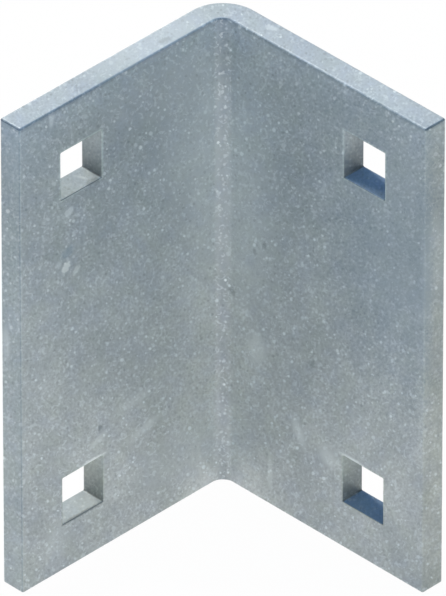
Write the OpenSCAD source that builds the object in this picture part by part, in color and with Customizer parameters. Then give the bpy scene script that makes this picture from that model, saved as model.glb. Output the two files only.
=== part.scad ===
// Dock angle bracket: one thick galvanised plate folded at a right angle into two legs,
// with an upper and a lower square bolt hole in each leg. It stands on its lower end,
// with the outer corner of the fold at the back left and the hollow side to the front right.

/* [Plate] */
// Height of the bracket, along the fold
height = 127; // [90:0.5:200]
// Thickness of the plate
plate = 6.35; // [4:0.05:9]
// Outside length of the left leg, from the outer corner to its free edge
left_leg = 69.85; // [55:0.05:120]
// Outside length of the right leg, from the outer corner to its free edge
right_leg = 69.85; // [55:0.05:120]
// Radius on the inside of the fold
fold_r = 3.175; // [1:0.025:8]
// Rounding along the outer edges of the plate
edge_r = 0.5; // [0.2:0.05:1]

/* [Square holes] */
// Side of each square hole
hole_side = 12.7; // [8:0.1:18]
// Radius in the corners of each hole
hole_corner_r = 0.4; // [0.2:0.05:2]
// Rounding where each hole meets the two faces of the plate
hole_edge_r = 0.4; // [0.2:0.05:0.8]
// Distance from the free edge of a leg to the centres of its holes
hole_from_edge = 19.05; // [14:0.05:26]
// Distance from each end of the bracket to the centres of the nearest holes
hole_from_end = 19.05; // [14:0.05:30]

/* [Hidden] */
$fn = 48;
galvanised = [0.60, 0.64, 0.66];
// Radius on the outside of the fold
fold_outer_r = fold_r + plate;
// Outer faces of the two legs, with the origin at the middle of the footprint
left_face_x = -right_leg / 2;
right_face_y = left_leg / 2;
// Axis of the fold
fold_x = left_face_x + fold_outer_r;
fold_y = right_face_y - fold_outer_r;
// How far a cut runs on past the face that it leaves
overrun = 1;

// A rectangle centred on the origin with rounded corners
module rounded_rectangle(size, r) {
    square([size.x - 2 * r, size.y], center = true);
    square([size.x, size.y - 2 * r], center = true);
    for (sx = [-1, 1], sy = [-1, 1])
        translate([sx * (size.x / 2 - r), sy * (size.y / 2 - r)])
            circle(r);
}

// The section of the plate across its thickness, X, and its height, Y
module plate_section() {
    rounded_rectangle([plate, height], edge_r);
}

// A flat stretch of plate along +X from the fold to a free edge, rounded on every outer edge
module leg_blank(flat) {
    // The free edge is shaped by outlines twice as long, whose other end lies past the fold
    intersection() {
        rotate([90, 0, 90])
            linear_extrude(flat)
                plate_section();
        linear_extrude(height, center = true)
            rounded_rectangle([2 * flat, plate], edge_r);
        rotate([90, 0, 0])
            linear_extrude(plate, center = true)
                rounded_rectangle([2 * flat, height], edge_r);
    }
}

// Half of the section through a hole, from its middle out to a wall at half_width, with the plate
// centred on Y = 0: what the rounded edge of the plate leaves free
module hole_section(half_width) {
    difference() {
        translate([0, -plate / 2 - overrun])
            square([half_width + hole_edge_r, plate + 2 * overrun]);
        translate([half_width + plate / 2, 0])
            rounded_rectangle([plate, plate], hole_edge_r);
    }
}

// The cut for one square hole, along Z, with the plate centred on Z = 0
module square_hole() {
    straight = hole_side - 2 * hole_corner_r;
    for (turn = [0, 90, 180, 270])
        rotate([0, 0, turn]) {
            translate([0, straight / 2, 0])
                rotate([90, 0, 0])
                    linear_extrude(straight)
                        hole_section(hole_side / 2);
            translate([straight / 2, straight / 2, 0])
                rotate_extrude(angle = 90)
                    hole_section(hole_corner_r);
        }
}

// One leg with its two holes, along +X from the fold, centred on its thickness and height
module leg(flat) {
    difference() {
        leg_blank(flat);
        for (side = [-1, 1])
            translate([flat - hole_from_edge, 0, side * (height / 2 - hole_from_end)])
                rotate([90, 0, 0])
                    square_hole();
    }
}

// The quarter turn of plate between the legs, about the axis of the fold
module fold() {
    rotate([0, 0, 90])
        rotate_extrude(angle = 90)
            translate([fold_r + plate / 2, 0])
                plate_section();
}

// The whole bracket: one folded plate
module angle_plate() {
    color(galvanised)
        translate([0, 0, height / 2]) {
            translate([fold_x, fold_y, 0])
                fold();
            translate([fold_x, right_face_y - plate / 2, 0])
                leg(right_leg - fold_outer_r);
            translate([left_face_x + plate / 2, fold_y, 0])
                rotate([0, 0, -90])
                    leg(left_leg - fold_outer_r);
        }
}

angle_plate();
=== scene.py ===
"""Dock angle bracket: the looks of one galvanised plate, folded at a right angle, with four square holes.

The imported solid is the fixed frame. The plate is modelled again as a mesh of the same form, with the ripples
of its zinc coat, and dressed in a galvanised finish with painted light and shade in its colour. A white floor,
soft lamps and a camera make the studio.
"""

import logging
import math
from dataclasses import dataclass
from enum import Enum

import bmesh
import bpy
from mathutils import Matrix, Vector, noise


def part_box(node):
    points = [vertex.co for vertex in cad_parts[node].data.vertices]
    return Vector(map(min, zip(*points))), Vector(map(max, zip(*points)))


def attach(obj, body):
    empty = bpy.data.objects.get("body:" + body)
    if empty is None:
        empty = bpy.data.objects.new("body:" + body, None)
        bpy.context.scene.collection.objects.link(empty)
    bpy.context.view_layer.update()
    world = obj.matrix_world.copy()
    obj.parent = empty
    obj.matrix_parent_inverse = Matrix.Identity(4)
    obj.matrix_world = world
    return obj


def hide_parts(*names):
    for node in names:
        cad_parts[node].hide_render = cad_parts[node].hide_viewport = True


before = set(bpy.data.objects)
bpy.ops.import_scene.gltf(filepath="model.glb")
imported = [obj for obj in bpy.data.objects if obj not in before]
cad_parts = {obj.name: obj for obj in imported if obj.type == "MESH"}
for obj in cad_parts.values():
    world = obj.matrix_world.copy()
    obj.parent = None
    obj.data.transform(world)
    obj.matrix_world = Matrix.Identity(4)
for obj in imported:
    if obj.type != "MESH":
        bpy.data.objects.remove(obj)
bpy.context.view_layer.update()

LOG = logging.getLogger("dock_angle_bracket")
MM = 0.001
NODE = "angle_plate"
BODY = "root"
CUT_TOLERANCE = 1e-7
MERGE_DISTANCE = 1e-6

Colour = tuple[float, float, float]
Point = tuple[float, float, float]
Span = tuple[float, float]
Socket = bpy.types.NodeSocket
Source = Socket | float | Colour
MeshPart = bmesh.types.BMVert | bmesh.types.BMEdge | bmesh.types.BMFace

# A tone that changes nothing, which is also plain white, and a shift or turn that moves nothing
PLAIN: Colour = (1.0, 1.0, 1.0)
ZERO: Point = (0.0, 0.0, 0.0)


class Leg(Enum):
    """The two legs of the folded plate."""

    LEFT = "left"
    RIGHT = "right"


class Tint(Enum):
    """How a mark changes the zinc under it."""

    PALE = "pale"
    BARE_AND_HIGHLIGHT = "bare_and_highlight"
    DARK = "dark"
    COOL = "cool"


class NodeSheet:
    """A node tree that is filled by short calls."""

    def __init__(self, tree: bpy.types.NodeTree) -> None:
        """Empties the tree and keeps it."""
        tree.nodes.clear()
        self.tree = tree

    def add(self, kind: str, **settings: object) -> bpy.types.Node:
        """Adds a node.

        Args:
            kind: Blender's name for the type of node.
            settings: Properties of the node, by name.

        Returns:
            The new node.
        """
        node = self.tree.nodes.new(kind)
        for name, value in settings.items():
            setattr(node, name, value)
        return node

    def feed(self, socket: Socket, source: Source) -> None:
        """Links a socket to another one, or sets its value.

        Args:
            socket: The input to fill.
            source: An output socket, a number or a colour.
        """
        if isinstance(source, Socket):
            self.tree.links.new(source, socket)
        elif socket.type == "RGBA":
            colour = source if isinstance(source, tuple) else (source,) * 3
            socket.default_value = (*colour, 1.0)
        else:
            socket.default_value = source

    def math(self, operation: str, first: Source, second: Source = 0.0) -> Socket:
        """Works out one sum.

        Args:
            operation: Blender's name for the operation.
            first: The first number.
            second: The second number.

        Returns:
            The result's socket.
        """
        node = self.add("ShaderNodeMath", operation=operation)
        self.feed(node.inputs[0], first)
        self.feed(node.inputs[1], second)
        return node.outputs[0]

    def vector(self, operation: str, first: Source, second: Point) -> Socket:
        """Works out one sum on vectors.

        Args:
            operation: Blender's name for the operation.
            first: The first vector.
            second: The second vector.

        Returns:
            The socket of the result, a number for a length and a vector otherwise.
        """
        node = self.add("ShaderNodeVectorMath", operation=operation)
        self.feed(node.inputs[0], first)
        node.inputs[1].default_value = second
        return node.outputs["Value" if operation == "LENGTH" else "Vector"]

    def mix(self, share: Source, first: Source, second: Source, blend: str = "MIX") -> Socket:
        """Mixes two colours.

        Args:
            share: How much of the second colour there is.
            first: The colour at a share of 0.
            second: The colour at a share of 1.
            blend: Blender's name for the way of mixing.

        Returns:
            The mixed colour's socket.
        """
        node = self.add("ShaderNodeMix", data_type="RGBA", blend_type=blend)
        self.feed(node.inputs["Factor"], share)
        self.feed(node.inputs[6], first)
        self.feed(node.inputs[7], second)
        return node.outputs[2]

    def ramp(self, value: Source, low: float, high: float, start: float = 0.0, end: float = 1.0) -> Socket:
        """Eases a number from start to end while it goes from low to high.

        Args:
            value: The number to read.
            low: Where the change begins.
            high: Where the change ends.
            start: The result below low.
            end: The result above high.

        Returns:
            The result's socket.
        """
        node = self.add("ShaderNodeMapRange", interpolation_type="SMOOTHSTEP")
        for socket, given in zip(node.inputs, (value, low, high, start, end)):
            self.feed(socket, given)
        return node.outputs["Result"]

    def part(self, vector: Socket, axis: str) -> Socket:
        """Takes one coordinate out of a vector.

        Args:
            vector: The vector.
            axis: Which coordinate: X, Y or Z.

        Returns:
            The coordinate's socket.
        """
        node = self.add("ShaderNodeSeparateXYZ")
        self.feed(node.inputs[0], vector)
        return node.outputs[axis]

    def attribute(self, name: str) -> Socket:
        """Reads a number that the mesh holds at its points."""
        return self.add("ShaderNodeAttribute", attribute_name=name).outputs["Fac"]

    def product(self, *factors: Source) -> Socket:
        """Multiplies numbers.

        Args:
            factors: The numbers.

        Returns:
            The socket of their product.
        """
        result = factors[0]
        for factor in factors[1:]:
            result = self.math("MULTIPLY", result, factor)
        return result

    def hump(self, value: Socket) -> Socket:
        """Rises from 0 to 1 and falls back while a number goes from 0 to 1."""
        return self.product(value, self.math("SUBTRACT", 1.0, value), 4.0)


@dataclass(frozen=True)
class Cloud:
    """Soft noise of one size.

    Attributes:
        size: About how far apart its patches lie, in millimetres.
        detail: How many finer layers it has.
        warp: How far it is distorted.
        shift: Where its pattern is moved to, so that two clouds differ.
    """

    size: float
    detail: float = 1.0
    warp: float = 0.0
    shift: Point = ZERO

    def grow(self, sheet: NodeSheet, grid: Socket) -> Socket:
        """Adds the noise to a node tree.

        Args:
            sheet: The node tree.
            grid: Where the noise is read, in millimetres.

        Returns:
            The socket of its value, from 0 to 1.
        """
        node = sheet.add("ShaderNodeTexNoise")
        sheet.feed(node.inputs["Vector"], sheet.vector("ADD", grid, self.shift))
        node.inputs["Scale"].default_value = 1.0 / self.size
        node.inputs["Detail"].default_value = self.detail
        node.inputs["Distortion"].default_value = self.warp
        return node.outputs[0]


@dataclass(frozen=True)
class Scatter:
    """Round flecks in the zinc, most of them faint.

    Attributes:
        spacing: About how far apart the flecks could lie, in millimetres.
        radius: Largest radius of a fleck, in millimetres.
        shift: Where the pattern is moved to, so that two scatters differ.
        faint: Strength of the faintest flecks, from 0 to 1.
        stronger: How much stronger the strongest ones are.
        rarity: How few of them are strong.
        fade: How far outside and inside its outline a fleck fades, as shares of the spacing.
    """

    spacing: float
    radius: float
    shift: Point = ZERO
    faint: float = 0.20
    stronger: float = 0.50
    rarity: float = 3.0
    fade: Span = (-0.12, 0.18)

    def strew(self, sheet: NodeSheet, grid: Socket, share: Source) -> Socket:
        """Adds the flecks to a node tree.

        Args:
            sheet: The node tree.
            grid: Where the pattern is read, in millimetres.
            share: How many of the places hold a fleck, from 0 to 1.

        Returns:
            The socket of their strength, from 0 to 1.
        """
        cells = sheet.add("ShaderNodeTexVoronoi", feature="F1")
        sheet.feed(cells.inputs["Vector"], sheet.vector("ADD", grid, self.shift))
        cells.inputs["Scale"].default_value = 1.0 / self.spacing
        lot = sheet.add("ShaderNodeSeparateColor")
        sheet.feed(lot.inputs[0], cells.outputs["Color"])
        size = sheet.product(lot.outputs["Green"], self.radius / self.spacing)
        inside = sheet.ramp(sheet.math("SUBTRACT", size, cells.outputs["Distance"]), *self.fade)
        strong = sheet.product(sheet.math("POWER", lot.outputs["Blue"], self.rarity), self.stronger)
        held = sheet.math("LESS_THAN", lot.outputs["Red"], share)
        return sheet.product(sheet.math("ADD", strong, self.faint), inside, held)


@dataclass(frozen=True)
class Curls:
    """Short curved lines, as the zinc leaves them where it sets.

    Attributes:
        winding: Noise whose middle level the lines follow.
        gaps: Noise that breaks the lines.
        line: How far from the middle level a line ends and is full.
        whole: Levels of the gaps between which a line starts again.
        strength: Strength of the lines, from 0 to 1.
    """

    winding: Cloud = Cloud(1.8, 1.0, 0.8, (41.0, 19.0, 6.0))
    gaps: Cloud = Cloud(0.99, 0.0, 0.0, (19.0, 6.0, 41.0))
    line: Span = (0.070, 0.015)
    whole: Span = (0.52, 0.62)
    strength: float = 0.28

    def draw(self, sheet: NodeSheet, grid: Socket) -> Socket:
        """Adds the lines to a node tree.

        Args:
            sheet: The node tree.
            grid: Where the pattern is read, in millimetres.

        Returns:
            The socket of their strength, from 0 to 1.
        """
        off = sheet.math("ABSOLUTE", sheet.math("SUBTRACT", self.winding.grow(sheet, grid), 0.5))
        lines = sheet.ramp(off, *self.line)
        return sheet.product(lines, sheet.ramp(self.gaps.grow(sheet, grid), *self.whole), self.strength)


@dataclass(frozen=True)
class Mark:
    """A smear, nick, speck, painted highlight or painted shade at one place on the plate.

    Attributes:
        place: Its middle, in millimetres in the part's frame.
        reach: How far it runs along X, Y and Z from its middle, in millimetres.
        tint: How its colour differs from the zinc.
        strength: How much of it shows, from 0 to 1.
        blur: How softly its outline fades, from 0 to 1.
        turn: Its slant about X, Y and Z, in degrees.
    """

    place: Point
    reach: Point
    tint: Tint
    strength: float
    blur: float = 1.0
    turn: Point = ZERO


MARKS = (
    # Nicks, smears, paler and darker stretches and a speck on the hollow side of the left leg
    Mark((-28.6, -20.8, 82.7), (1.0, 1.9, 1.3), Tint.BARE_AND_HIGHLIGHT, 0.58, 0.45, turn=(46.0, 0.0, 0.0)),
    Mark((-28.6, -17.5, 80.4), (1.0, 1.5, 1.0), Tint.BARE_AND_HIGHLIGHT, 0.36, 0.55, turn=(50.0, 0.0, 0.0)),
    Mark((-28.6, -23.0, 84.5), (1.0, 1.0, 1.0), Tint.PALE, 0.30),
    Mark((-28.6, -20.3, 86.6), (1.0, 2.4, 1.6), Tint.COOL, 0.40, turn=(20.0, 0.0, 0.0)),
    Mark((-28.6, -19.7, 97.3), (1.0, 1.6, 1.3), Tint.PALE, 0.44, 0.50, turn=(20.0, 0.0, 0.0)),
    Mark((-28.6, -25.1, 124.5), (1.0, 0.8, 2.0), Tint.PALE, 0.40),
    Mark((-28.6, -23.8, 9.0), (1.0, 4.2, 5.0), Tint.PALE, 0.16),
    Mark((-28.6, 12.0, 14.0), (3.0, 13.0, 6.5), Tint.PALE, 0.13),
    Mark((-31.0, -33.0, 118.0), (8.0, 10.0, 9.0), Tint.COOL, 0.19),
    Mark((-28.6, -14.0, 49.0), (3.0, 10.0, 13.0), Tint.DARK, 0.14),
    Mark((-28.6, -23.5, 60.0), (3.0, 5.0, 6.0), Tint.DARK, 0.10),
    Mark((-28.6, -31.5, 19.0), (3.0, 4.0, 8.0), Tint.DARK, 0.12),
    Mark((-28.6, -4.0, 5.5), (3.0, 7.0, 6.5), Tint.DARK, 0.16),
    Mark((-28.6, 8.0, 117.0), (3.0, 13.0, 8.0), Tint.PALE, 0.13),
    Mark((-28.6, 0.7, 35.5), (1.0, 6.0, 1.5), Tint.BARE_AND_HIGHLIGHT, 0.20, turn=(4.0, 0.0, 0.0)),
    Mark((-28.6, 3.8, 26.2), (1.0, 5.0, 1.5), Tint.BARE_AND_HIGHLIGHT, 0.32, turn=(16.0, 0.0, 0.0)),
    Mark((-28.6, -11.0, 30.4), (1.0, 3.0, 1.0), Tint.BARE_AND_HIGHLIGHT, 0.31, turn=(20.0, 0.0, 0.0)),
    Mark((-28.6, 18.2, 57.1), (1.0, 4.0, 4.0), Tint.PALE, 0.10),
    Mark((-28.6, 18.0, 102.0), (3.0, 11.0, 20.0), Tint.PALE, 0.15),
    Mark((-28.6, -10.4, 33.4), (1.0, 0.8, 0.8), Tint.DARK, 0.55),
    # Two pale stretches along the fold
    Mark((-22.0, 25.0, 80.0), (11.0, 9.0, 28.0), Tint.PALE, 0.17),
    Mark((-26.5, 25.0, 12.0), (8.0, 10.0, 12.0), Tint.PALE, 0.12),
    # A smear down the free edge of the left leg
    Mark((-33.4, -34.9, 66.2), (1.2, 1.0, 4.5), Tint.PALE, 0.25),
    # A paler and a darker stretch of the free edge of the right leg
    Mark((34.9, 31.8, 90.0), (2.0, 4.0, 12.0), Tint.PALE, 0.15),
    Mark((34.9, 31.8, 63.0), (2.0, 4.0, 11.0), Tint.DARK, 0.15),
    # Cool stains, a darker stretch, smears and specks on the hollow side of the right leg
    Mark((29.0, 28.6, 92.0), (25.0, 3.0, 42.0), Tint.COOL, 0.31),
    Mark((3.0, 28.6, 118.0), (12.0, 3.0, 9.0), Tint.COOL, 0.15),
    Mark((31.5, 28.6, 27.0), (4.0, 3.0, 10.0), Tint.DARK, 0.11),
    Mark((-17.8, 28.6, 40.8), (3.0, 1.0, 4.6), Tint.BARE_AND_HIGHLIGHT, 0.33),
    Mark((-4.6, 28.6, 24.8), (1.6, 1.0, 4.2), Tint.BARE_AND_HIGHLIGHT, 0.36, turn=(0.0, -24.0, 0.0)),
    Mark((5.2, 28.6, 22.3), (3.2, 1.0, 2.2), Tint.BARE_AND_HIGHLIGHT, 0.33),
    Mark((14.0, 28.6, 38.0), (2.6, 1.0, 3.2), Tint.PALE, 0.10),
    Mark((-13.5, 28.6, 8.8), (0.9, 1.0, 4.8), Tint.BARE_AND_HIGHLIGHT, 0.34),
    Mark((-25.6, 28.6, 53.1), (0.9, 1.0, 1.2), Tint.DARK, 0.50),
    Mark((-15.5, 28.6, 70.5), (0.8, 1.0, 1.1), Tint.DARK, 0.50),
    Mark((-18.5, 28.6, 67.5), (0.8, 1.0, 0.9), Tint.DARK, 0.35),
    Mark((-0.4, 28.6, 45.6), (0.9, 1.0, 1.0), Tint.DARK, 0.45),
    # Painted highlights along the upper edges of the lower holes, and painted shade along the lower edge and
    # in a corner of the lower left one
    Mark((-28.6, -12.6, 25.6), (0.8, 4.2, 0.7), Tint.BARE_AND_HIGHLIGHT, 0.90),
    Mark((12.6, 28.6, 25.6), (4.2, 0.8, 0.7), Tint.BARE_AND_HIGHLIGHT, 0.85),
    Mark((-28.6, -16.2, 12.6), (0.7, 7.2, 0.45), Tint.DARK, 0.85, 0.7),
    Mark((-28.6, -9.9, 13.4), (0.7, 0.5, 0.9), Tint.DARK, 0.45),
    # Painted light on the floor of the lower left hole, and a pale ridge, painted shade along the lower edge
    # and a cool wall in the upper one
    Mark((-31.8, -15.9, 12.7), (4.0, 8.0, 0.6), Tint.PALE, 0.12),
    Mark((-31.9, -12.7, 101.6), (1.7, 0.5, 1.0), Tint.PALE, 0.26, turn=(0.0, 0.0, 20.0)),
    Mark((-28.7, -12.0, 101.5), (1.2, 2.4, 0.6), Tint.DARK, 0.60, 0.7),
    Mark((-31.8, -9.5, 107.9), (4.0, 0.6, 7.0), Tint.COOL, 0.08),
    # A dark oval, a curl and a pale stretch on the upper end
    Mark((-30.6, 12.5, 127.0), (1.0, 2.2, 1.0), Tint.DARK, 0.45, turn=(0.0, 0.0, -6.0)),
    Mark((-17.1, 32.6, 127.0), (1.7, 0.9, 1.0), Tint.PALE, 0.45, turn=(0.0, 0.0, 20.0)),
    Mark((-31.8, 10.0, 127.0), (5.0, 18.0, 2.0), Tint.PALE, 0.24),
    Mark((12.0, 31.8, 127.0), (18.0, 5.0, 2.0), Tint.PALE, 0.06),
)


@dataclass(frozen=True)
class Galvanised:
    """The hot-dip zinc coat: cloudy blue-grey with fine pale flecks and curls, with painted light and shade
    laid over it.

    A span gives the two values of something between which the finish changes.

    Attributes:
        dull: Colour of the darker clouds.
        bright: Colour of the paler clouds.
        cool: Cast of the cool patches.
        warm: Cast of the greenish patches.
        upper: Tone of painted shade on the upright faces near the upper end.
        lower: Tone of the upright faces near the lower end, painted paler and warmer as the floor's bounce
            light would make them.
        crown: Tone of the faces that look up.
        walls: Tones of the punched walls in the lower and the upper holes, an olive cast with painted shade
            that is deeper in the upper holes.
        painted_wall_foot_shade: How much darker the punched walls are at their foot, as painted shade.
        painted_sill_shades: Tones of painted shade on the floors of the left and the right holes, bluish in
            the right ones.
        sheared: Tones of painted shade and cast on the narrow faces at the free edges of the left and the
            right leg.
        painted_shoulder_shades: Tones of the painted shade that dulls the highlight on the rounded edges that
            look up, along the legs and at the free edges.
        edges: Tones of the painted dark line along the lower side of those edges, in the same order.
        rims: Tones of the painted highlight on the upright rounded edges of the lower and the upper holes.
        painted_lip_light_and_shade: Tones of the rounded edges over the lower and the upper holes: a painted
            reflection of the white floor over the lower ones and painted shade over the upper ones.
        brow: Tone of the band under the upper edges.
        painted_seam_shade: Tone of the painted shade line at the top of that band.
        bend: Tone of the painted light that lifts the shade beside the ends of the fold.
        fold: Tone of painted shade midway round the fold.
        corner: Tone of the thin line down the upright edges.
        crease: Tone of the thin dark line beside it, down the free edge of the left leg.
        fleck: Colour of the pale flecks and pale marks, and of the painted light on the floor of the lower
            left hole.
        bare_and_highlight: Colour of fresh nicks, and of the painted highlights over the lower holes.
        speck: Colour of the dark specks, and of the painted shade at the edges and corner of the holes.
        stain: Colour of the cool stains.
        metallic: How much of the surface reflects as metal.
        roughness: Roughness of the dullest and the brightest zinc.
        rough_edge: How much rougher the rounded edges are.
        relief: Depth of the fine relief, in millimetres.
        relief_shares: Shares of the grain, the flecks and the patches in the relief.
        painted_shade_heights: Heights between which that painted shade changes, in millimetres.
        brow_heights: Heights between which the band under the upper edges begins, in millimetres.
        seam_heights: Heights between which the painted shade line begins, in millimetres.
        middle: Heights between which the lower holes give way to the upper ones, in millimetres.
        legs_apart: Span of X plus Y, in millimetres, from the left leg to the right one.
        level: Span of the normal's rise, from faces that slope to faces that look up.
        rising: Span of the normal's rise, from upright faces to rounded edges.
        rounded_over: Span of the normal's rise, from rounded edges to faces that look up.
        line_over: Span of the normal's rise over which the painted dark line along those edges ends.
        seam_over: Span of the normal's rise over which the painted shade line ends.
        lip_under: Span of the normal's rise, from the rims of a hole to the lip over it.
        foot: Span of the height in a hole, from 0 to 1, over which the painted shade at the foot of a wall
            ends.
        crease_starts: Span of the turn round a free edge, from 0 to 1, where the crease begins.
        crease_ends: Span of that turn where the crease ends.
        free: Span of that turn over which the tones of the upper edges change.
        broad: The broadest clouds.
        patch: The patches, which also hold more or fewer flecks.
        grain: The finest noise.
        cast: The patches of cool and greenish zinc.
        broad_share: Share of the broadest clouds against the patches.
        pale_span: Span of the clouds from dull to bright zinc.
        rough_span: Span of the clouds over which the roughness changes.
        warm_span: Span of the cast that makes greenish patches.
        cool_span: Span of the cast that makes cool patches.
        grain_span: Span of the finest noise.
        grain_tones: Tones of its dark and its pale grains.
        calm: How much of the clouds and the grain is lost on the faces that look up.
        large: The larger pale flecks.
        small: The smaller pale flecks.
        curls: The short pale lines.
        dots: The dark dots.
        crowd_span: Span of the patches from few to many flecks.
        crowd: Shares of places that hold a fleck, at the fewest and the most.
        crowd_bend: How much that share rises at the fold.
        fleck_bend_span: Span round the fold over which the flecks grow stronger.
        fleck_bend: How much stronger they are there.
        fleck_heights: Heights between which the flecks' strength changes, in millimetres.
        fleck_low: How much stronger the flecks are near the lower end.
        fleck_punched: How much of the flecks' strength is left in the holes.
        fleck_sheared: How much of it is left at the free edges.
        dot_share: Share of places that hold a dark dot.
        dot_heights: Heights between which the dots' strength changes, in millimetres.
        dot_strengths: Strengths of the dots near the lower and the upper end.
        dot_level: How much of that strength is left on the faces that look up.
        mark_outline: Where a mark's outline lies, in reaches, with the noise that breaks it.
        mark_ragged: How far the noise breaks the outline, in reaches.
        grain_along: The way in which the fine pattern is drawn out.
        grain_length: How many times longer it is that way.
        grid_turn: Turn of the pattern's own grid, which keeps it from lining up with the faces.
        marks: The marks at places of their own.
    """

    dull: Colour = (0.523, 0.587, 0.623)
    bright: Colour = (0.602, 0.667, 0.698)
    cool: Colour = (0.985, 0.99, 1.02)
    warm: Colour = (1.0, 1.005, 0.98)
    upper: Colour = (0.738, 0.752, 0.752)
    lower: Colour = (0.985, 0.938, 0.882)
    crown: Colour = (0.945, 0.942, 0.96)
    walls: tuple[Colour, Colour] = ((0.82, 0.81, 0.74), (0.715, 0.727, 0.718))
    painted_wall_foot_shade: float = 0.62
    painted_sill_shades: tuple[Colour, Colour] = ((0.765, 0.80, 0.82), (0.60, 0.75, 0.98))
    sheared: tuple[Colour, Colour] = ((0.84, 0.885, 0.922), (0.89, 0.888, 0.848))
    painted_shoulder_shades: tuple[Colour, Colour] = ((0.955, 0.96, 0.97), (0.58, 0.62, 0.67))
    edges: tuple[Colour, Colour] = ((0.93, 0.95, 0.98), (1.05, 1.05, 1.06))
    rims: tuple[Colour, Colour] = ((1.08, 1.08, 1.04), (1.40, 1.42, 1.34))
    painted_lip_light_and_shade: tuple[Colour, Colour] = ((2.0, 2.0, 1.95), (0.76, 0.77, 0.68))
    brow: Colour = (1.075, 1.10, 1.135)
    painted_seam_shade: Colour = (0.77, 0.80, 0.84)
    bend: Colour = (1.185, 1.165, 1.15)
    fold: Colour = (0.815, 0.83, 0.86)
    corner: Colour = (1.06, 1.06, 1.04)
    crease: Colour = (0.80, 0.83, 0.87)
    fleck: Colour = (0.90, 0.96, 0.97)
    bare_and_highlight: Colour = (0.93, 0.975, 0.955)
    speck: Colour = (0.21, 0.245, 0.258)
    stain: Colour = (0.25, 0.35, 0.45)
    metallic: float = 0.45
    roughness: Span = (0.60, 0.46)
    rough_edge: float = 0.35
    relief: float = 0.04
    relief_shares: tuple[float, float, float] = (0.5, 0.5, 1.2)
    painted_shade_heights: Span = (15.0, 115.0)
    brow_heights: Span = (115.0, 127.0)
    seam_heights: Span = (125.6, 126.3)
    middle: Span = (45.0, 80.0)
    legs_apart: Span = (-3.0, 3.0)
    level: Span = (0.80, 0.97)
    rising: Span = (0.06, 0.20)
    rounded_over: Span = (0.99, 0.90)
    line_over: Span = (0.85, 0.55)
    seam_over: Span = (0.55, 0.15)
    lip_under: Span = (-0.10, -0.45)
    foot: Span = (0.0, 0.8)
    crease_starts: Span = (0.55, 0.85)
    crease_ends: Span = (0.999, 0.95)
    free: Span = (0.05, 0.40)
    broad: Cloud = Cloud(22.0, 3.0, 0.6)
    patch: Cloud = Cloud(6.0, 3.0, 0.4, (31.0, 7.0, 13.0))
    grain: Cloud = Cloud(0.62, shift=(9.0, 2.0, 77.0))
    cast: Cloud = Cloud(5.0, shift=(3.0, 51.0, 23.0))
    broad_share: float = 0.55
    pale_span: Span = (0.34, 0.66)
    rough_span: Span = (0.30, 0.70)
    warm_span: Span = (0.50, 0.68)
    cool_span: Span = (0.48, 0.32)
    grain_span: Span = (0.26, 0.74)
    grain_tones: Span = (0.895, 1.08)
    calm: float = 0.40
    large: Scatter = Scatter(1.15, 0.55)
    small: Scatter = Scatter(0.82, 0.41, (17.0, 5.0, 3.0))
    curls: Curls = Curls()
    dots: Scatter = Scatter(0.8, 0.42, (4.0, 23.0, 15.0))
    crowd_span: Span = (0.36, 0.64)
    crowd: Span = (0.10, 0.57)
    crowd_bend: float = 0.08
    fleck_bend_span: Span = (0.8, 1.3)
    fleck_bend: float = 1.4
    fleck_heights: Span = (10.0, 90.0)
    fleck_low: float = 1.25
    fleck_punched: float = 0.4
    fleck_sheared: float = 0.7
    dot_share: float = 0.95
    dot_heights: Span = (20.0, 100.0)
    dot_strengths: Span = (0.50, 0.62)
    dot_level: float = 0.8
    mark_outline: float = 1.4
    mark_ragged: float = 1.1
    grain_along: Point = (1.0, -1.0, 1.0)
    grain_length: float = 2.2
    grid_turn: Point = (0.6, 0.45, 0.9)
    marks: tuple[Mark, ...] = MARKS

    def clouds(self, sheet: NodeSheet, grid: Socket, share: Socket, grain: Socket) -> Socket:
        """Mixes the cloudy colour of the zinc.

        Args:
            sheet: The node tree.
            grid: Where the pattern is read, in millimetres.
            share: How much of the paler zinc there is.
            grain: Fine noise.

        Returns:
            The socket of the colour.
        """
        cast = self.cast.grow(sheet, grid)
        colour = sheet.mix(sheet.ramp(share, *self.pale_span), self.dull, self.bright)
        colour = sheet.mix(sheet.ramp(cast, *self.warm_span), colour, self.warm, "MULTIPLY")
        colour = sheet.mix(sheet.ramp(cast, *self.cool_span), colour, self.cool, "MULTIPLY")
        return sheet.mix(1.0, colour, sheet.ramp(grain, *self.grain_span, *self.grain_tones), "MULTIPLY")

    def toned(self, sheet: NodeSheet, point: Socket, up: Socket, colour: Socket) -> Socket:
        """Paints light and shade into a colour: grades it with height and changes it beside the fold, in the
        holes and at the free edges.

        Args:
            sheet: The node tree.
            point: The place on the plate, in millimetres.
            up: How far the surface looks up, from -1 to 1.
            colour: The colour to grade.

        Returns:
            The socket of the graded colour.
        """
        height = sheet.part(point, "Z")
        aside = sheet.math("ADD", sheet.part(point, "X"), sheet.part(point, "Y"))
        right = sheet.ramp(aside, *self.legs_apart)
        flat = sheet.ramp(up, *self.level)
        sheared = sheet.attribute("sheared")
        creased = sheet.product(sheet.ramp(sheared, *self.crease_starts),
                                sheet.ramp(sheared, *self.crease_ends), sheet.math("SUBTRACT", 1.0, right))
        # Painted shade: the upright faces darken towards the upper end and are painted paler and warmer
        # towards the floor
        tone = sheet.mix(sheet.ramp(height, *self.painted_shade_heights), self.lower, self.upper)
        # Painted shade on the narrow faces at the free edges, bluer on the left leg and warmer on the right
        tone = sheet.mix(sheared, tone, sheet.mix(right, *self.sheared), "MULTIPLY")
        tone = sheet.mix(sheet.hump(sheared), tone, self.corner, "MULTIPLY")
        tone = sheet.mix(creased, tone, self.crease, "MULTIPLY")
        # Faces that look up take the crown tone in place of that painted shade
        tone = sheet.mix(flat, tone, self.crown)

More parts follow.
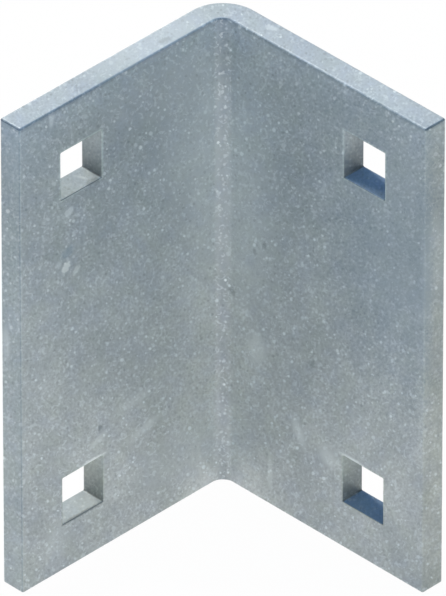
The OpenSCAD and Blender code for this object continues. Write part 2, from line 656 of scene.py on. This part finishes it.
        # Painted light beside the ends of the fold and painted shade midway round it
        bend = sheet.attribute("bend")
        beside = sheet.mix(sheet.ramp(bend, 0.0, 1.0), PLAIN, self.bend)
        beside = sheet.mix(sheet.ramp(bend, 1.0, 2.0), beside, self.fold)
        # A paler band under the upper edges, with a thin painted shade line at its top
        beside = sheet.mix(sheet.ramp(height, *self.brow_heights), beside, self.brow, "MULTIPLY")
        steep = sheet.product(sheet.ramp(height, *self.seam_heights), sheet.ramp(up, *self.seam_over))
        beside = sheet.mix(steep, beside, self.painted_seam_shade, "MULTIPLY")
        tone = sheet.mix(1.0, tone, sheet.mix(flat, beside, PLAIN), "MULTIPLY")

        punched = sheet.attribute("punched")
        upper_hole = sheet.ramp(height, *self.middle)
        # Painted shade in the holes: on the punched walls, deepest at their foot, and on the floors, bluish in
        # the right leg
        shade = sheet.ramp(sheet.attribute("foot"), *self.foot, self.painted_wall_foot_shade, 1.0)
        wall = sheet.mix(1.0, sheet.mix(upper_hole, *self.walls), shade, "MULTIPLY")
        tone = sheet.mix(punched, tone, sheet.mix(flat, wall, sheet.mix(right, *self.painted_sill_shades)))
        # Painted highlights on the upright rims of the holes, a painted reflection of the floor on the lips
        # over the lower holes and painted shade on those over the upper holes
        rim = sheet.product(sheet.hump(punched), sheet.ramp(up, *self.rising, 1.0, 0.0))
        border = sheet.mix(sheet.ramp(up, *self.lip_under), sheet.mix(upper_hole, *self.rims),
                           sheet.mix(upper_hole, *self.painted_lip_light_and_shade))
        tone = sheet.mix(rim, tone, border, "MULTIPLY")
        return sheet.mix(1.0, colour, tone, "MULTIPLY")

    def pale_flecks(self, sheet: NodeSheet, grid: Socket, patch: Socket,
                    height: Socket, up: Socket) -> Socket:
        """Scatters the pale flecks and curls, thickest at the fold.

        Args:
            sheet: The node tree.
            grid: Where the pattern is read, in millimetres.
            patch: The patches that hold more or fewer flecks.
            height: The height on the plate, in millimetres.
            up: How far the surface looks up, from -1 to 1.

        Returns:
            The socket of their strength.
        """
        bend = sheet.product(sheet.attribute("bend"), sheet.ramp(up, *self.level, 1.0, 0.0))
        crowd = sheet.ramp(patch, *self.crowd_span, *self.crowd)
        crowd = sheet.math("ADD", crowd, sheet.product(bend, self.crowd_bend))
        flecks = self.curls.draw(sheet, grid)
        for scatter in (self.large, self.small):
            flecks = sheet.math("MAXIMUM", flecks, scatter.strew(sheet, grid, crowd))
        return sheet.product(
            flecks,
            sheet.ramp(bend, *self.fleck_bend_span, 1.0, self.fleck_bend),
            sheet.ramp(height, *self.fleck_heights, self.fleck_low, 1.0),
            sheet.ramp(sheet.attribute("punched"), 0.0, 1.0, 1.0, self.fleck_punched),
            sheet.ramp(sheet.attribute("sheared"), 0.0, 1.0, 1.0, self.fleck_sheared),
        )

    def dark_dots(self, sheet: NodeSheet, grid: Socket, height: Socket, up: Socket) -> Socket:
        """Scatters the dark dots.

        Args:
            sheet: The node tree.
            grid: Where the pattern is read, in millimetres.
            height: The height on the plate, in millimetres.
            up: How far the surface looks up, from -1 to 1.

        Returns:
            The socket of their strength.
        """
        dots = self.dots.strew(sheet, grid, self.dot_share)
        strength = sheet.ramp(height, *self.dot_heights, *self.dot_strengths)
        return sheet.product(dots, strength, sheet.ramp(up, *self.level, 1.0, self.dot_level))

    def marked(self, sheet: NodeSheet, point: Socket, ragged: Socket, colour: Socket) -> Socket:
        """Lays the marks over a colour.

        Args:
            sheet: The node tree.
            point: The place on the plate, in millimetres.
            ragged: Noise that breaks the marks' outlines.
            colour: The colour under the marks.

        Returns:
            The socket of the colour with its marks.
        """
        tints = {Tint.PALE: self.fleck, Tint.BARE_AND_HIGHLIGHT: self.bare_and_highlight, Tint.DARK: self.speck, Tint.COOL: self.stain}
        broken = sheet.product(ragged, self.mark_ragged)
        for mark in self.marks:
            local = sheet.add("ShaderNodeMapping", vector_type="TEXTURE")
            sheet.feed(local.inputs["Vector"], point)
            local.inputs["Location"].default_value = mark.place
            local.inputs["Rotation"].default_value = [math.radians(angle) for angle in mark.turn]
            local.inputs["Scale"].default_value = mark.reach
            away = sheet.math("ADD", sheet.vector("LENGTH", local.outputs[0], ZERO), broken)
            fade = mark.blur / 2
            mask = sheet.ramp(away, self.mark_outline + fade, self.mark_outline - fade, 0.0, mark.strength)
            colour = sheet.mix(mask, colour, tints[mark.tint])
        return colour

    @staticmethod
    def placed(sheet: NodeSheet, point: Socket, turn: Point, scale: Point) -> Socket:
        """Scales and then turns a place.

        Args:
            sheet: The node tree.
            point: The place.
            turn: The turn about X, Y and Z, in radians.
            scale: The scale along X, Y and Z.

        Returns:
            The socket of the new place.
        """
        node = sheet.add("ShaderNodeMapping")
        sheet.feed(node.inputs["Vector"], point)
        node.inputs["Rotation"].default_value = turn
        node.inputs["Scale"].default_value = scale
        return node.outputs[0]

    def pattern_grid(self, sheet: NodeSheet, point: Socket) -> Socket:
        """Lays out the grid that the fine pattern is read on.

        Args:
            sheet: The node tree.
            point: The place on the plate, in millimetres.

        Returns:
            The socket of the place on the grid, in millimetres.
        """
        upright = Vector(self.grain_along).rotation_difference(Vector((0.0, 0.0, 1.0)))
        grid = self.placed(sheet, point, tuple(upright.to_euler()), (1.0, 1.0, 1.0))
        return self.placed(sheet, grid, self.grid_turn, (1.0, 1.0, 1.0 / self.grain_length))

    def material(self) -> bpy.types.Material:
        """Builds the finish.

        Returns:
            The material, which reads the piece's own coordinates.
        """
        material = bpy.data.materials.new("galvanised_zinc")
        material.use_nodes = True
        sheet = NodeSheet(material.node_tree)
        place = sheet.add("ShaderNodeTexCoord")
        point = sheet.vector("MULTIPLY", place.outputs["Object"], (1.0 / MM,) * 3)
        height = sheet.part(point, "Z")
        up = sheet.part(place.outputs["Normal"], "Z")
        grid = self.pattern_grid(sheet, point)
        broad, patch, grain = (cloud.grow(sheet, grid) for cloud in (self.broad, self.patch, self.grain))
        share = sheet.math("ADD", sheet.product(broad, self.broad_share),
                           sheet.product(patch, 1.0 - self.broad_share))

        calm = sheet.ramp(up, *self.level, 0.0, self.calm)
        colour = self.clouds(sheet, grid, sheet.mix(calm, share, 0.5), sheet.mix(calm, grain, 0.5))
        colour = self.toned(sheet, point, up, colour)
        flecks = self.pale_flecks(sheet, grid, patch, height, up)
        colour = sheet.mix(flecks, colour, self.fleck)
        colour = sheet.mix(self.dark_dots(sheet, grid, height, up), colour, self.speck)
        colour = self.marked(sheet, point, grain, colour)
        # Painted shade on the rounded edges that look up, which dulls their highlight, and a painted dark line
        # along their lower side
        rising = sheet.ramp(up, *self.rising)
        rounded = sheet.product(rising, sheet.ramp(up, *self.rounded_over))
        line = sheet.product(rising, sheet.ramp(up, *self.line_over))
        free = sheet.ramp(sheet.attribute("sheared"), *self.free)
        for mask, tones in ((rounded, self.painted_shoulder_shades), (line, self.edges)):
            colour = sheet.mix(mask, colour, sheet.mix(free, *tones), "MULTIPLY")

        rough = sheet.ramp(share, *self.rough_span, *self.roughness)
        rough = sheet.math("ADD", rough, sheet.product(rounded, self.rough_edge))
        relief = 0.0
        for layer, weight in zip((grain, flecks, patch), self.relief_shares):
            relief = sheet.math("ADD", relief, sheet.product(layer, weight))
        bump = sheet.add("ShaderNodeBump")
        bump.inputs["Strength"].default_value = 1.0
        bump.inputs["Distance"].default_value = self.relief * MM
        sheet.feed(bump.inputs["Height"], relief)

        shader = sheet.add("ShaderNodeBsdfPrincipled")
        sheet.feed(shader.inputs["Base Color"], colour)
        sheet.feed(shader.inputs["Roughness"], rough)
        sheet.feed(shader.inputs["Normal"], bump.outputs[0])
        shader.inputs["Metallic"].default_value = self.metallic
        output = sheet.add("ShaderNodeOutputMaterial")
        sheet.feed(output.inputs["Surface"], shader.outputs[0])
        return material


def make_object(name: str, bm: bmesh.types.BMesh, material: bpy.types.Material) -> bpy.types.Object:
    """Turns a finished mesh into an object of the scene.

    Args:
        name: What the object is called.
        bm: The mesh, which is freed.
        material: Its finish.

    Returns:
        The object.
    """
    mesh = bpy.data.meshes.new(name)
    bm.to_mesh(mesh)
    bm.free()
    mesh.materials.append(material)
    made = bpy.data.objects.new(name, mesh)
    bpy.context.scene.collection.objects.link(made)
    return made


@dataclass
class AnglePlate:
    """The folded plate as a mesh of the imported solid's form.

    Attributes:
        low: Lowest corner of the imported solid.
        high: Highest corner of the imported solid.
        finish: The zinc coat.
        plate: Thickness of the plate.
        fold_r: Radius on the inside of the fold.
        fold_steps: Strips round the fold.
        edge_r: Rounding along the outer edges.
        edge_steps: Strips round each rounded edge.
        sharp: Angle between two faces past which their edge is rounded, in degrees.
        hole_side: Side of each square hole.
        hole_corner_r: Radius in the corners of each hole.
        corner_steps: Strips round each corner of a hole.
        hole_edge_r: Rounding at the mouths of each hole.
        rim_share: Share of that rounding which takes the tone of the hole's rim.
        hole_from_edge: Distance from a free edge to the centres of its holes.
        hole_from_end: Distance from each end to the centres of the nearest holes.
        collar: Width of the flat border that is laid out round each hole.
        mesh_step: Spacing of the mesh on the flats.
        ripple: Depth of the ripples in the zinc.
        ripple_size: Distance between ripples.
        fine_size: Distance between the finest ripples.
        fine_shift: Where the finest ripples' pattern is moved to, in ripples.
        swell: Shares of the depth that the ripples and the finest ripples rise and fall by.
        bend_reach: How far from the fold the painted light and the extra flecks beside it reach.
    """

    low: Vector
    high: Vector
    finish: Galvanised
    plate: float = 6.35 * MM
    fold_r: float = 3.175 * MM
    fold_steps: int = 24
    edge_r: float = 0.5 * MM
    edge_steps: int = 4
    sharp: float = 60.0
    hole_side: float = 12.7 * MM
    hole_corner_r: float = 0.4 * MM
    corner_steps: int = 6
    hole_edge_r: float = 0.4 * MM
    rim_share: float = 0.7
    hole_from_edge: float = 19.05 * MM
    hole_from_end: float = 19.05 * MM
    collar: float = 3.0 * MM
    mesh_step: float = 1.0 * MM
    ripple: float = 0.05 * MM
    ripple_size: float = 4.0 * MM
    fine_size: float = 1.6 * MM
    fine_shift: Point = (5.0, 3.0, 8.0)
    swell: Span = (0.35, 0.25)
    bend_reach: float = 20.0 * MM

    @property
    def fold_axis(self) -> Vector:
        """The foot of the axis that the plate is folded about."""
        outer = self.fold_r + self.plate
        return Vector((self.low.x + outer, self.high.y - outer, self.low.z))

    @property
    def hole_heights(self) -> Span:
        """Heights of the lower and upper holes' centres."""
        return self.low.z + self.hole_from_end, self.high.z - self.hole_from_end

    @property
    def hole_reach(self) -> float:
        """Half the width of a hole with its collar."""
        return self.hole_side / 2 + self.collar

    def leg_stops(self, free_edge: float, fold: float) -> list[float]:
        """Lists where a leg's mesh is divided.

        Args:
            free_edge: Where the leg ends.
            fold: Where the leg meets the fold.

        Returns:
            The stops from the free edge to the fold, along the leg's own axis.
        """
        inward = math.copysign(1.0, fold - free_edge)
        centre = free_edge + inward * self.hole_from_edge
        return [free_edge, centre - inward * self.hole_reach, centre + inward * self.hole_reach, fold]

    def section(self, bm: bmesh.types.BMesh) -> list[bmesh.types.BMFace]:
        """Makes the free end of the left leg, divided at the heights of the holes.

        Args:
            bm: The empty mesh.

        Returns:
            The faces of the end.
        """
        height = self.high.z - self.low.z
        middle = Vector((self.low.x + self.plate / 2, self.low.y, self.low.z + height / 2))
        upright = Matrix.Rotation(math.radians(90), 4, "X")
        stretch = Matrix.Diagonal((self.plate, height, 1.0, 1.0))
        bmesh.ops.create_grid(bm, x_segments=1, y_segments=1, size=0.5,
                              matrix=Matrix.Translation(middle) @ upright @ stretch)
        for centre in self.hole_heights:
            for side in (-1, 1):
                self.cut(bm, Vector((0, 0, centre + side * self.hole_reach)), Vector((0, 0, 1)))
        return bm.faces[:]

    @staticmethod
    def cut(bm: bmesh.types.BMesh, place: Vector, across: Vector) -> None:
        """Divides the mesh where a plane crosses it.

        Args:
            bm: The mesh.
            place: A point of the plane.
            across: The plane's normal.
        """
        parts = [*bm.verts, *bm.edges, *bm.faces]
        bmesh.ops.bisect_plane(bm, geom=parts, dist=CUT_TOLERANCE, plane_co=place, plane_no=across)

    @staticmethod
    def whole(faces: list[bmesh.types.BMFace]) -> list[MeshPart]:
        """Lists faces with their edges and corners, so that extruding them leaves no face inside.

        Args:
            faces: The faces.

        Returns:
            Each corner, edge and face once, in the faces' order.
        """
        edges = dict.fromkeys(edge for face in faces for edge in face.edges)
        verts = dict.fromkeys(vert for face in faces for vert in face.verts)
        return [*verts, *edges, *faces]

    def push(self, bm: bmesh.types.BMesh, faces: list[bmesh.types.BMFace],
             by: Vector) -> list[bmesh.types.BMFace]:
        """Extrudes faces.

        Args:
            bm: The mesh.
            faces: The faces to extrude.
            by: How far and which way.

        Returns:
            The faces at the new end.
        """
        grown = bmesh.ops.extrude_face_region(bm, geom=self.whole(faces))["geom"]
        verts = [part for part in grown if isinstance(part, bmesh.types.BMVert)]
        bmesh.ops.translate(bm, verts=verts, vec=by)
        return [part for part in grown if isinstance(part, bmesh.types.BMFace)]

    def fold_plate(self, bm: bmesh.types.BMesh) -> None:
        """Draws the plate along the left leg, round the fold and along the right leg.

        Args:
            bm: The mesh, which is empty.
        """
        axis = self.fold_axis
        end = self.section(bm)
        stops = self.leg_stops(self.low.y, axis.y)
        for here, there in zip(stops, stops[1:]):
            end = self.push(bm, end, Vector((0, there - here, 0)))
        turned = bmesh.ops.spin(bm, geom=self.whole(end), cent=axis, axis=(0, 0, 1), angle=math.radians(-90),
                                steps=self.fold_steps, use_merge=False)["geom_last"]
        end = [part for part in turned if isinstance(part, bmesh.types.BMFace)]
        stops = self.leg_stops(self.high.x, axis.x)[::-1]
        for here, there in zip(stops, stops[1:]):
            end = self.push(bm, end, Vector((there - here, 0, 0)))
        bmesh.ops.recalc_face_normals(bm, faces=bm.faces[:])

    def hole_faces(self, bm: bmesh.types.BMesh, leg: Leg, height: float) -> list[bmesh.types.BMFace]:
        """Finds the two faces that a hole goes through.

        Args:
            bm: The mesh.
            leg: The leg that holds the hole.
            height: Height of the hole's centre.

        Returns:
            The face on the hollow side and the face on the outer side, in either order.
        """
        if leg is Leg.LEFT:
            centre = Vector((self.low.x + self.plate / 2, self.low.y + self.hole_from_edge, height))
            through = Vector((1, 0, 0))
        else:
            centre = Vector((self.high.x - self.hole_from_edge, self.high.y - self.plate / 2, height))
            through = Vector((0, 1, 0))
        found = []
        for face in bm.faces:
            across = face.calc_center_median() - centre
            if (across - through * across.dot(through)).length < self.collar / 2:
                found.append(face)
        return found

    def punch(self, bm: bmesh.types.BMesh) -> None:
        """Makes the four square holes with their rounded corners.

        Args:
            bm: The mesh of the folded plate.
        """
        corners = []
        for leg in Leg:
            for height in self.hole_heights:
                faces = self.hole_faces(bm, leg, height)
                bmesh.ops.inset_individual(bm, faces=faces, thickness=self.collar, use_even_offset=True)
                mouths = [edge for face in faces for edge in face.edges]
                bmesh.ops.delete(bm, geom=faces, context="FACES_ONLY")
                walls = bmesh.ops.bridge_loops(bm, edges=mouths)["faces"]
                sides = dict.fromkeys(edge for wall in walls for edge in wall.edges)
                corners.extend(edge for edge in sides if edge not in mouths)
        bmesh.ops.recalc_face_normals(bm, faces=bm.faces[:])
        self.bevel(bm, corners, self.hole_corner_r, self.corner_steps)

    @staticmethod
    def bevel(bm: bmesh.types.BMesh, edges: list[bmesh.types.BMEdge], radius: float, steps: int) -> None:
        """Rounds edges.

        Args:
            bm: The mesh.
            edges: The edges to round.
            radius: The radius of the rounding.
            steps: Strips round each edge.
        """
        bmesh.ops.bevel(bm, geom=edges, offset=radius, offset_type="OFFSET", segments=steps, profile=0.5,
                        affect="EDGES", material=-1, clamp_overlap=True, loop_slide=True)

    def round_edges(self, bm: bmesh.types.BMesh) -> None:
        """Rounds the outer edges of the plate and the mouths of the holes.

        Args:
            bm: The mesh of the punched plate.
        """
        sharp = [edge for edge in bm.edges if edge.calc_face_angle(0.0) > math.radians(self.sharp)]
        rims = [edge for edge in sharp if self.inside_outline(edge)]
        outline = [edge for edge in sharp if not self.inside_outline(edge)]
        for edges, radius in ((rims, self.hole_edge_r), (outline, self.edge_r)):
            self.bevel(bm, [edge for edge in edges if edge.is_valid], radius, self.edge_steps)

    def inside_outline(self, edge: bmesh.types.BMEdge) -> bool:
        """Tells whether an edge lies on a hole and not on the outline of the plate.

        Args:
            edge: The edge.

        Returns:
            True for an edge of a hole.
        """
        middle = (edge.verts[0].co + edge.verts[1].co) / 2
        margin = self.hole_from_end - self.hole_reach
        ends = min(middle.z - self.low.z, self.high.z - middle.z)
        edges = min(middle.y - self.low.y, self.high.x - middle.x)
        return ends > margin and edges > margin

    def refine(self, bm: bmesh.types.BMesh) -> None:
        """Divides the flats so that the zinc can ripple.

        Args:
            bm: The mesh of the rounded plate.
        """
        axis = self.fold_axis
        for value in self.ticks(self.low.y, axis.y):
            self.cut(bm, Vector((0, value, 0)), Vector((0, 1, 0)))
        for value in self.ticks(axis.x, self.high.x):
            self.cut(bm, Vector((value, 0, 0)), Vector((1, 0, 0)))
        for value in self.ticks(self.low.z, self.high.z):
            self.cut(bm, Vector((0, 0, value)), Vector((0, 0, 1)))

    def ticks(self, start: float, end: float) -> list[float]:
        """Lists evenly spaced places between two ends."""
        count = round((end - start) / self.mesh_step)
        return [start + (end - start) * index / count for index in range(1, count)]

    def beside_fold(self, place: Vector) -> float:
        """Tells how near a place on the hollow side is to the fold.

        Args:
            place: The place.

        Returns:
            0 far along a leg and on the outer side, 1 at an end of the fold and 2 midway round it.
        """
        along, round_it = self.fold_axis.x - place.x, place.y - self.fold_axis.y
        turning = along > 0 and round_it > 0
        out = math.hypot(along, round_it) if turning else max(along, round_it)
        if out > self.fold_r + self.plate / 2:
            return 0.0
        if turning:
            return 1.0 + math.sqrt(2) * min(along, round_it) / out
        return max(0.0, 1.0 + min(along, round_it) / self.bend_reach)

    def tag(self, bm: bmesh.types.BMesh) -> None:
        """Notes at each point how near it is to the fold, and whether it lies in a hole or at a free edge.

        Args:
            bm: The finished mesh.
        """
        bend, punched, foot, sheared = (bm.verts.layers.float.new(name)
                                        for name in ("bend", "punched", "foot", "sheared"))
        for vert in bm.verts:
            vert[bend] = self.beside_fold(vert.co)
            inward = min(vert.co.y - self.low.y, self.high.x - vert.co.x)
            vert[sheared] = max(0.0, 1.0 - inward / self.edge_r)
            rise = min((vert.co.z - height for height in self.hole_heights), key=abs)
            outside = max(abs(inward - self.hole_from_edge), abs(rise)) - self.hole_side / 2
            vert[punched] = min(1.0, max(0.0, 1.0 - outside / (self.rim_share * self.hole_edge_r)))
            vert[foot] = min(1.0, max(0.0, 0.5 + rise / self.hole_side))

    def coat(self, bm: bmesh.types.BMesh) -> None:
        """Sinks the surface by the ripples of the zinc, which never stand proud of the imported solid.

        Args:
            bm: The finished mesh.
        """
        bm.normal_update()
        moves = []
        for vert in bm.verts:
            wave = noise.noise(vert.co / self.ripple_size)
            fine = noise.noise(vert.co / self.fine_size + Vector(self.fine_shift))
            depth = self.ripple * (0.5 + self.swell[0] * wave + self.swell[1] * fine)
            moves.append(vert.normal * -max(depth, 0.0))
        for vert, move in zip(bm.verts, moves):
            vert.co += move

    @staticmethod
    def shade(mesh: bpy.types.Mesh) -> None:
        """Shades the mesh smooth, with larger faces counting for more, so that the flats look flat.

        Args:
            mesh: The finished mesh.
        """
        mesh.polygons.foreach_set("use_smooth", [True] * len(mesh.polygons))
        normals = [Vector() for _ in mesh.vertices]
        for face in mesh.polygons:
            for index in face.vertices:
                normals[index] += face.normal * face.area
        mesh.normals_split_custom_set_from_vertices([normal.normalized() for normal in normals])

    def build(self) -> bpy.types.Object:
        """Models and dresses the plate.

        Returns:
            The plate's object, riding on its body.
        """
        bm = bmesh.new()
        self.fold_plate(bm)
        self.punch(bm)
        self.round_edges(bm)
        self.refine(bm)
        bmesh.ops.remove_doubles(bm, verts=bm.verts[:], dist=MERGE_DISTANCE)
        bmesh.ops.recalc_face_normals(bm, faces=bm.faces[:])
        self.tag(bm)
        self.coat(bm)
        piece = make_object("bracket_plate", bm, self.finish.material())
        self.shade(piece.data)
        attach(piece, BODY)
        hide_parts(NODE)
        return piece


@dataclass(frozen=True)
class WhiteFloor:
    """The plain white floor.

    Attributes:
        colour: How much light it sends back.
        glow: How much of a plain white the camera and the reflections see in place of its own shading.
    """

    colour: Colour = (0.86, 0.87, 0.88)
    glow: float = 0.98

    def material(self) -> bpy.types.Material:
        """Builds the floor's finish.

        Returns:
            The material.
        """
        material = bpy.data.materials.new("white_floor")
        material.use_nodes = True
        sheet = NodeSheet(material.node_tree)
        path = sheet.add("ShaderNodeLightPath")
        seen = sheet.math("MAXIMUM", path.outputs["Is Camera Ray"], path.outputs["Is Glossy Ray"])
        seen = sheet.math("MAXIMUM", seen, path.outputs["Is Transmission Ray"])
        matt = sheet.add("ShaderNodeBsdfDiffuse")
        sheet.feed(matt.inputs["Color"], self.colour)
        white = sheet.add("ShaderNodeEmission")
        mixed = sheet.add("ShaderNodeMixShader")
        sheet.feed(mixed.inputs[0], sheet.math("MULTIPLY", seen, self.glow))
        sheet.feed(mixed.inputs[1], matt.outputs[0])
        sheet.feed(mixed.inputs[2], white.outputs[0])
        output = sheet.add("ShaderNodeOutputMaterial")
        sheet.feed(output.inputs["Surface"], mixed.outputs[0])
        return material


@dataclass(frozen=True)
class SoftLamp:
    """A square soft lamp that points at the bracket.

    Attributes:
        name: What it is called.
        bearing: Where it stands: degrees round from +X towards +Y, and degrees above the horizon.
        power: Its power, in watts.
        colour: Its colour.
        distance: How far away it stands, in metres.
        size: Its side, in metres.
    """

    name: str
    bearing: Span
    power: float
    colour: Colour
    distance: float = 1.4
    size: float = 0.6

    def hang(self, target: Vector) -> bpy.types.Object:
        """Hangs the lamp.

        Args:
            target: What it points at.

        Returns:
            The lamp's object.
        """
        data = bpy.data.lights.new(self.name, "AREA")
        data.size = self.size
        data.energy = self.power
        data.color = self.colour
        lamp = bpy.data.objects.new(self.name, data)
        turn, rise = (math.radians(angle) for angle in self.bearing)
        away = Vector((math.cos(turn) * math.cos(rise), math.sin(turn) * math.cos(rise), math.sin(rise)))
        lamp.location = target + away * self.distance
        lamp.rotation_euler = away.to_track_quat("Z", "Y").to_euler()
        lamp.visible_camera = False
        bpy.context.scene.collection.objects.link(lamp)
        return lamp


@dataclass
class Studio:
    """The floor, the lamps and the light of the room.

    Attributes:
        target: What the lamps point at.
        floor_finish: The floor's finish.
        floor_half: Half the floor's width, in metres.
        room: Colour of the room above the floor.
        room_strength: How bright the room is.
        lamps: The soft lamps.
    """

    target: Vector
    floor_finish: WhiteFloor
    floor_half: float = 6.0
    room: Colour = (0.40, 0.66, 1.0)
    room_strength: float = 0.04
    lamps: tuple[SoftLamp, ...] = (
        SoftLamp("left_lamp", (180.0, 35.0), 98.0, (1.0, 0.90, 0.76), distance=2.8, size=1.2),
        SoftLamp("top_lamp", (0.0, 89.0), 13.5, (0.50, 0.73, 1.0), size=1.5),
        SoftLamp("front_right_lamp", (-15.0, 6.0), 4.65, (1.0, 0.98, 0.92)),
        SoftLamp("front_left_lamp", (-75.0, 6.0), 1.85, (0.92, 0.955, 1.0)),
    )

    def lay_floor(self) -> bpy.types.Object:
        """Lays the floor under the bracket.

        Returns:
            The floor's object.
        """
        bm = bmesh.new()
        bmesh.ops.create_grid(bm, x_segments=1, y_segments=1, size=self.floor_half)
        floor = make_object("studio_floor", bm, self.floor_finish.material())
        return floor

    def fill_room(self) -> None:
        """Gives the room a dim blue light above the floor and plain white below it."""
        world = bpy.data.worlds.new("studio_room")
        world.use_nodes = True
        sheet = NodeSheet(world.node_tree)
        place = sheet.add("ShaderNodeTexCoord")
        below = sheet.math("LESS_THAN", sheet.part(place.outputs["Generated"], "Z"), 0.0)
        strength = sheet.ramp(below, 0.0, 1.0, self.room_strength, 1.0)
        room = sheet.add("ShaderNodeBackground")
        sheet.feed(room.inputs["Color"], sheet.mix(below, self.room, PLAIN))
        sheet.feed(room.inputs["Strength"], strength)
        output = sheet.add("ShaderNodeOutputWorld")
        sheet.feed(output.inputs["Surface"], room.outputs[0])
        bpy.context.scene.world = world

    def build(self) -> bpy.types.Object:
        """Builds the studio.

        Returns:
            The floor's object.
        """
        for lamp in self.lamps:
            lamp.hang(self.target)
        self.fill_room()
        return self.lay_floor()


@dataclass
class PhotoCamera:
    """The photograph's view: parallel in effect, at equal angles to the three main directions.

    Attributes:
        azimuth: Turn of the view round the bracket, in degrees.
        elevation: Height of the view above the horizon, in degrees.
        image: Width and height of the photograph, in pixels.
        origin_pixel: Where the part's origin lies in the photograph.
        pixels_per_mm: Scale of the photograph across the view.
        scale_depth: How far in front of the origin that scale holds, in metres.
        lens: Focal length in millimetres, long enough for an almost parallel view.
        sensor: Long side of the sensor, in millimetres.
    """

    azimuth: float = 45.0
    elevation: float = math.degrees(math.atan(math.sqrt(0.5)))
    image: tuple[int, int] = (446, 596)
    origin_pixel: Span = (222.8, 584.3)
    pixels_per_mm: float = 4.481
    scale_depth: float = 35.0 * MM
    lens: float = 1200.0
    sensor: float = 36.0

    def build(self) -> bpy.types.Object:
        """Places the camera.

        Returns:
            The camera's object.
        """
        turn, rise = math.radians(self.azimuth), math.radians(self.elevation)
        back = Vector((math.sin(turn) * math.cos(rise), -math.cos(turn) * math.cos(rise), math.sin(rise)))
        facing = (-back).to_track_quat("-Z", "Y")
        right, up = facing @ Vector((1, 0, 0)), facing @ Vector((0, 1, 0))
        pixel = MM / self.pixels_per_mm
        aim = right * (self.image[0] / 2 - self.origin_pixel[0]) * pixel
        aim += up * (self.origin_pixel[1] - self.image[1] / 2) * pixel
        distance = max(self.image) * pixel * self.lens / self.sensor
        data = bpy.data.cameras.new("photo_camera")
        data.lens = self.lens
        data.sensor_width = self.sensor
        data.clip_end = 4 * distance
        camera = bpy.data.objects.new("photo_camera", data)
        camera.location = aim + back * (self.scale_depth + distance)
        camera.rotation_euler = facing.to_euler()
        bpy.context.scene.collection.objects.link(camera)
        bpy.context.scene.camera = camera
        return camera


def main() -> None:
    """Builds the studio and the plate."""
    logging.basicConfig(level=logging.INFO, format="%(name)s: %(message)s")
    bpy.context.scene.view_settings.view_transform = "Standard"
    low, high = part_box(NODE)
    camera = PhotoCamera().build()
    LOG.info("camera %s at %s", camera.name, tuple(round(value, 3) for value in camera.location))
    floor = Studio(target=(low + high) / 2, floor_finish=WhiteFloor()).build()
    LOG.info("floor %s", floor.name)
    plate = AnglePlate(low=low, high=high, finish=Galvanised()).build()
    LOG.info("piece %s: %d faces", plate.name, len(plate.data.polygons))


if __name__ == "__main__":
    main()
